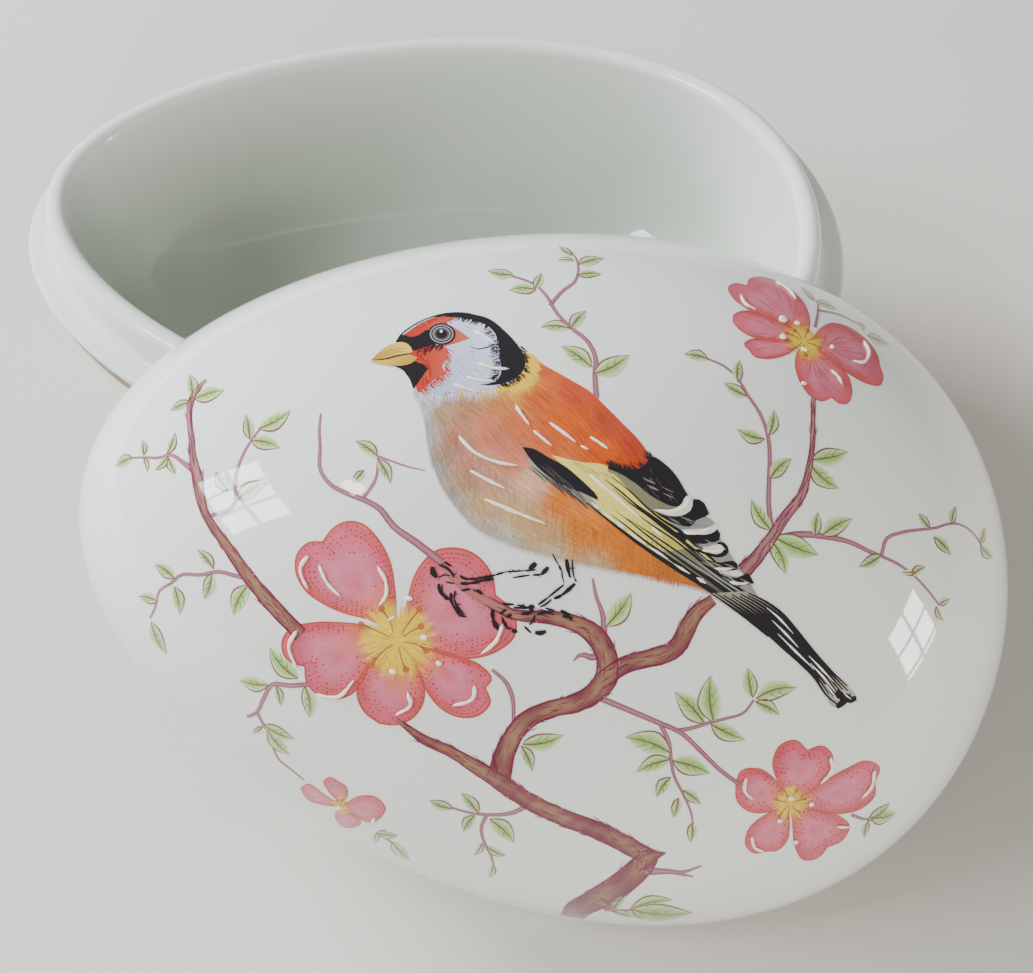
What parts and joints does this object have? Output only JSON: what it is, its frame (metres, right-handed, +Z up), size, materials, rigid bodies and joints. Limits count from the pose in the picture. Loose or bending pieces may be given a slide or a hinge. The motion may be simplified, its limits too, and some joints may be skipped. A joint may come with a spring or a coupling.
{
  "type": "porcelain trinket box",
  "caption": "Egg-shaped glazed porcelain box in two loose halves: an open bowl with a stepped rim and gilt line, and a domed lid with a bird on a blossoming branch, leaning on the bowl.",
  "frame": {"origin": "on the table, at the middle of the floor that the open box covers", "axes": "+Z up, +X along the long axis of the base towards its blunt end, the lid in front at -Y"},
  "size_m": [0.1374, 0.1278, 0.0624],
  "materials": {
    "base_porcelain": "clear high-gloss glaze over white porcelain",
    "lid_porcelain": "clear high-gloss glaze over white porcelain, with a printed and enamelled picture",
    "gilding": "thin fired gold, worn to brown in places"
  },
  "bodies": {
    "base": {"base_shell": "base_porcelain", "gilt_line": "gilding"},
    "lid": {"lid_shell": "lid_porcelain"}
  },
  "joints": [
    {"name": "lid_lift", "type": "slide", "parent": "base", "child": "lid", "axis": [0, 0, 1], "range_m": [0, 0.06]}
  ]
}
